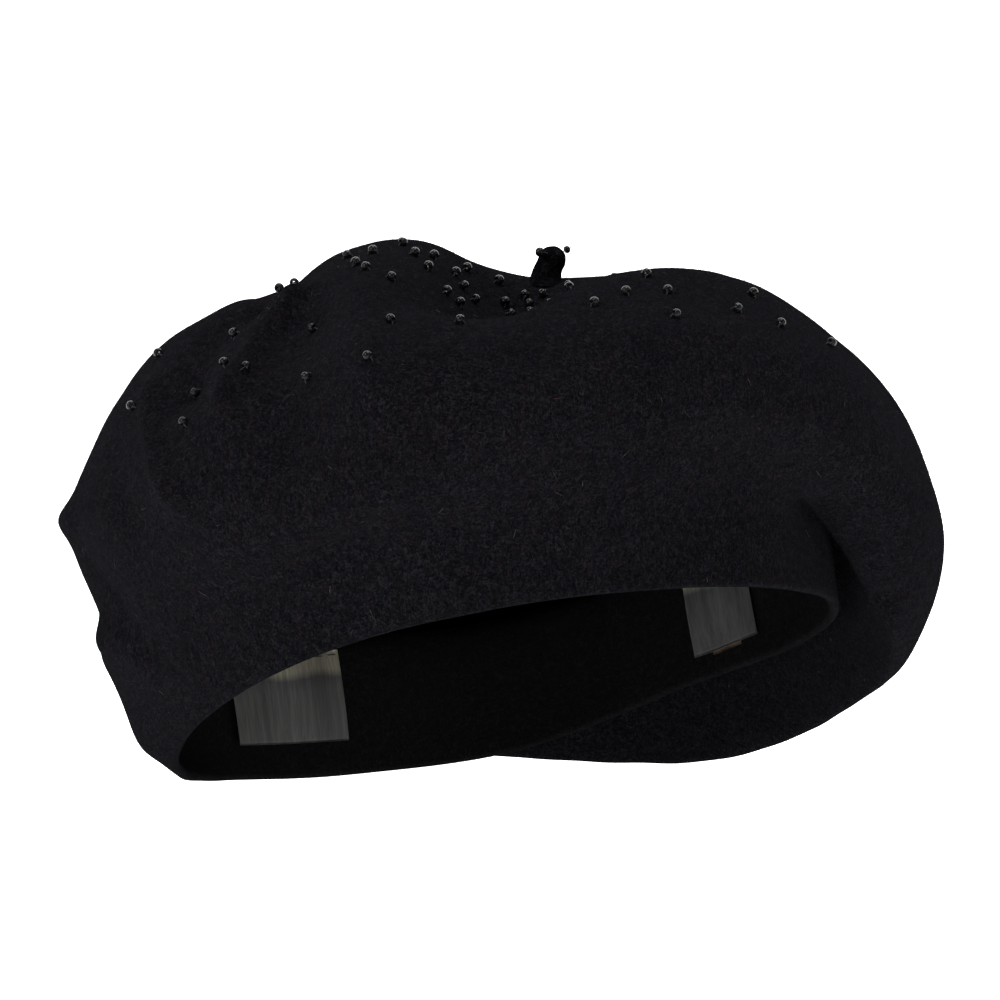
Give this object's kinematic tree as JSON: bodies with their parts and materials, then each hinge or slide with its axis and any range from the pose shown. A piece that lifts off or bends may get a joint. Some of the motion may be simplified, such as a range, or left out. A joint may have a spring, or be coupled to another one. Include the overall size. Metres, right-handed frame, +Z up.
{
  "type": "beret",
  "caption": "Slouch beret of black felted wool, its crown scattered with small glossy beads round a stubby felt stalk, with two plain satin labels inside.",
  "frame": {"origin": "middle of the oval head opening", "axes": "+Z up as worn on an upright head, -Y the taut side that the picture shows, +X the side where the loose crown hangs"},
  "size_m": [0.2406, 0.2117, 0.16],
  "materials": {
    "felt": "matt fulled wool with a short fuzzy nap",
    "beads": "glossy opaque black",
    "thread": "matt sewing thread",
    "satin": "smooth grey satin with a fine vertical weave"
  },
  "bodies": {
    "beret": {"felt_body": "felt", "beads_around_stalk": "beads", "beads_second_ring": "beads", "beads_third_ring": "beads", "beads_fourth_ring": "beads", "beads_fifth_ring": "beads", "beads_outer_ring": "beads", "threads_around_stalk": "thread", "threads_second_ring": "thread", "threads_third_ring": "thread", "threads_fourth_ring": "thread", "threads_fifth_ring": "thread", "threads_outer_ring": "thread"},
    "stalk": {"stalk": "felt", "stalk_beads": "beads", "stalk_threads": "thread"},
    "brand_label": {"brand_label": "satin", "brand_label_stitches": "thread"},
    "care_label": {"care_label": "satin", "care_label_stitches": "thread"}
  },
  "joints": [
    {"name": "stalk_bend", "type": "hinge", "parent": "beret", "child": "stalk", "pos_m": [0.011, 0.012, 0.11225], "axis": [0, 1, 0], "range_deg": [-25, 25], "stiffness_Nm_per_rad": 0.002},
    {"name": "brand_label_lift", "type": "hinge", "parent": "beret", "child": "brand_label", "pos_m": [-0.06127, 0.0567, 0.00047], "axis": [-0.7486, -0.6597, 0.0667], "range_deg": [0, 70]},
    {"name": "care_label_lift", "type": "hinge", "parent": "beret", "child": "care_label", "pos_m": [0.05833, 0.0667, 0.0247], "axis": [-0.6936, 0.6172, -0.3715], "range_deg": [0, 70]}
  ]
}
